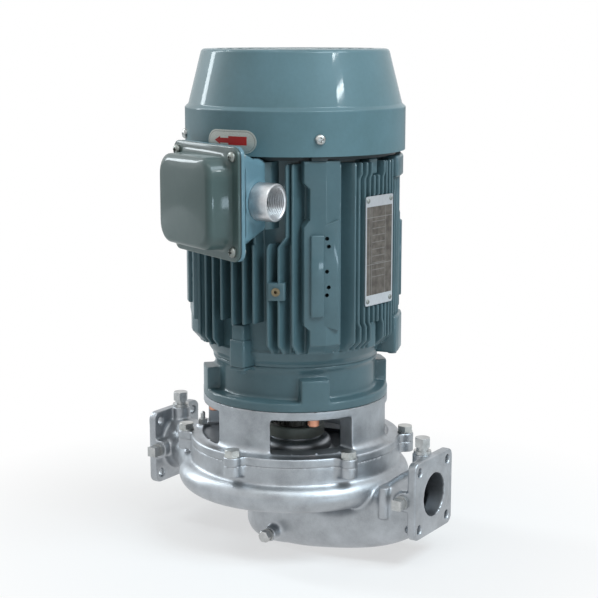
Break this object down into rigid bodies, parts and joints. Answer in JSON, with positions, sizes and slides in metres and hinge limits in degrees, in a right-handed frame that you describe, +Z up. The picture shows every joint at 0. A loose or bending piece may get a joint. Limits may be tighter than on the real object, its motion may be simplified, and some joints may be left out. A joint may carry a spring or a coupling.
{
  "type": "in-line pump",
  "caption": "Close-coupled in-line centrifugal pump: cast volute casing with two square port flanges, open bracket and an upright fan-cooled motor.",
  "frame": {"origin": "on the shaft axis, in the plane of the flat foot under the casing", "axes": "+Z up along the shaft, +X out of the suction port, -Y to the front, where the terminal box is"},
  "size_m": [0.3, 0.2685, 0.4615],
  "materials": {
    "aluminium": "bare, turned",
    "bearing_steel": "ground and polished",
    "black_plastic": "moulded",
    "black_rubber": "matt",
    "brass": "plain",
    "carbon": "lapped carbon",
    "cast_stainless": "cast, satin, slightly grainy",
    "ceramic": "lapped ceramic",
    "copper": "enamelled copper wire",
    "dark_steel": "blackened",
    "label_sheet": "printed metal foil",
    "machined_steel": "machined",
    "motor_paint": "gloss enamel, grey green",
    "zinc_steel": "bright zinc plated"
  },
  "bodies": {
    "root": {"air_vent": "machined_steel", "bracket": "cast_stainless", "casing_bolt_washers": "zinc_steel", "casing_bolts": "zinc_steel", "casing_cover": "cast_stainless", "casing_o_ring": "black_rubber", "casing_wear_ring": "brass", "conduit_socket": "aluminium", "drain_plug": "machined_steel", "drive_shield": "motor_paint", "drive_shield_screws": "zinc_steel", "earth_screw": "brass", "fan_cover": "motor_paint", "fan_cover_screws": "zinc_steel", "gauge_plugs": "machined_steel", "lid_screws": "zinc_steel", "lower_bearing_outer_ring": "bearing_steel", "motor_bolts": "copper", "motor_frame": "motor_paint", "nameplate": "label_sheet", "nameplate_rivets": "aluminium", "oil_seal": "black_rubber", "rear_shield": "motor_paint", "rear_shield_screws": "zinc_steel", "rotation_label": "label_sheet", "seal_gland": "dark_steel", "seal_seat": "ceramic", "seal_seat_cup": "black_rubber", "square_plugs": "machined_steel", "stator_core": "dark_steel", "stator_windings": "copper", "terminal_block": "black_plastic", "terminal_box_base": "motor_paint", "terminal_box_gasket": "black_rubber", "terminal_box_lid": "motor_paint", "terminal_box_screws": "zinc_steel", "terminal_studs": "brass", "upper_bearing_outer_ring": "bearing_steel", "volute_casing": "cast_stainless", "wave_washer": "bearing_steel"},
    "rotor": {"impeller": "cast_stainless", "impeller_key": "machined_steel", "impeller_washer": "machined_steel", "impeller_nut": "machined_steel", "motor_shaft": "machined_steel", "shaft_collar": "dark_steel", "rotor_core": "dark_steel", "rotor_end_rings": "aluminium", "seal_face_ring": "carbon", "seal_bellows": "black_rubber", "seal_spring": "machined_steel", "cooling_fan": "black_plastic", "fan_circlip": "dark_steel", "lower_bearing_inner_ring": "bearing_steel", "upper_bearing_inner_ring": "bearing_steel"},
    "lower_ball_set": {"lower_bearing_balls": "bearing_steel", "lower_bearing_cage": "brass"},
    "upper_ball_set": {"upper_bearing_balls": "bearing_steel", "upper_bearing_cage": "brass"}
  },
  "joints": [
    {"name": "rotor_spin", "type": "hinge", "parent": "root", "child": "rotor", "pos_m": [0, 0, 0.1414], "axis": [0, 0, 1], "continuous": true},
    {"name": "lower_ball_orbit", "type": "hinge", "parent": "root", "child": "lower_ball_set", "pos_m": [0, 0, 0.1639], "axis": [0, 0, 1], "continuous": true},
    {"name": "upper_ball_orbit", "type": "hinge", "parent": "root", "child": "upper_ball_set", "pos_m": [0, 0, 0.3615], "axis": [0, 0, 1], "continuous": true}
  ],
  "couplings": [
    {"joint": "lower_ball_orbit", "follows": "rotor_spin", "ratio": 0.3969},
    {"joint": "upper_ball_orbit", "follows": "rotor_spin", "ratio": 0.3969}
  ]
}
